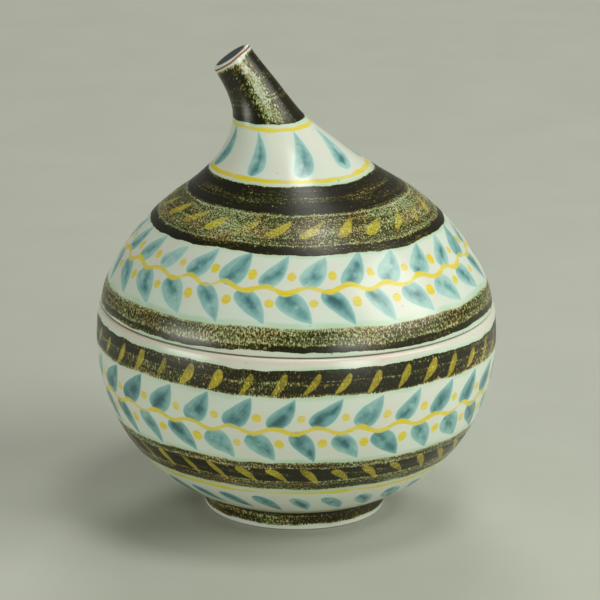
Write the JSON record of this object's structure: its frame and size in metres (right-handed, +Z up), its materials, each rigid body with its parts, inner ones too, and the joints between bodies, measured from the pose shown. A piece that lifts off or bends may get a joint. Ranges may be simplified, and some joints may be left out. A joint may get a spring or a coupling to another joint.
{
  "type": "lidded jar",
  "caption": "Round glazed earthenware jar on a small foot ring, with a loose domed lid that draws up into a crooked stem; it holds dry food or small things.",
  "frame": {"origin": "middle of the foot ring, on the table", "axes": "+Z up, +X to the right in the picture, +Y away from the viewer; the stem leans towards -X"},
  "size_m": [0.13, 0.13, 0.1535],
  "materials": {
    "bowl_glaze": "gloss",
    "lid_glaze": "gloss",
    "stem_glaze": "gloss"
  },
  "bodies": {
    "bowl": {"bowl": "bowl_glaze"},
    "lid": {"lid_dome": "lid_glaze", "stem": "stem_glaze"}
  },
  "joints": [
    {"name": "lid_lift", "type": "slide", "parent": "bowl", "child": "lid", "axis": [0, 0, 1], "range_m": [0, 0.1]}
  ]
}
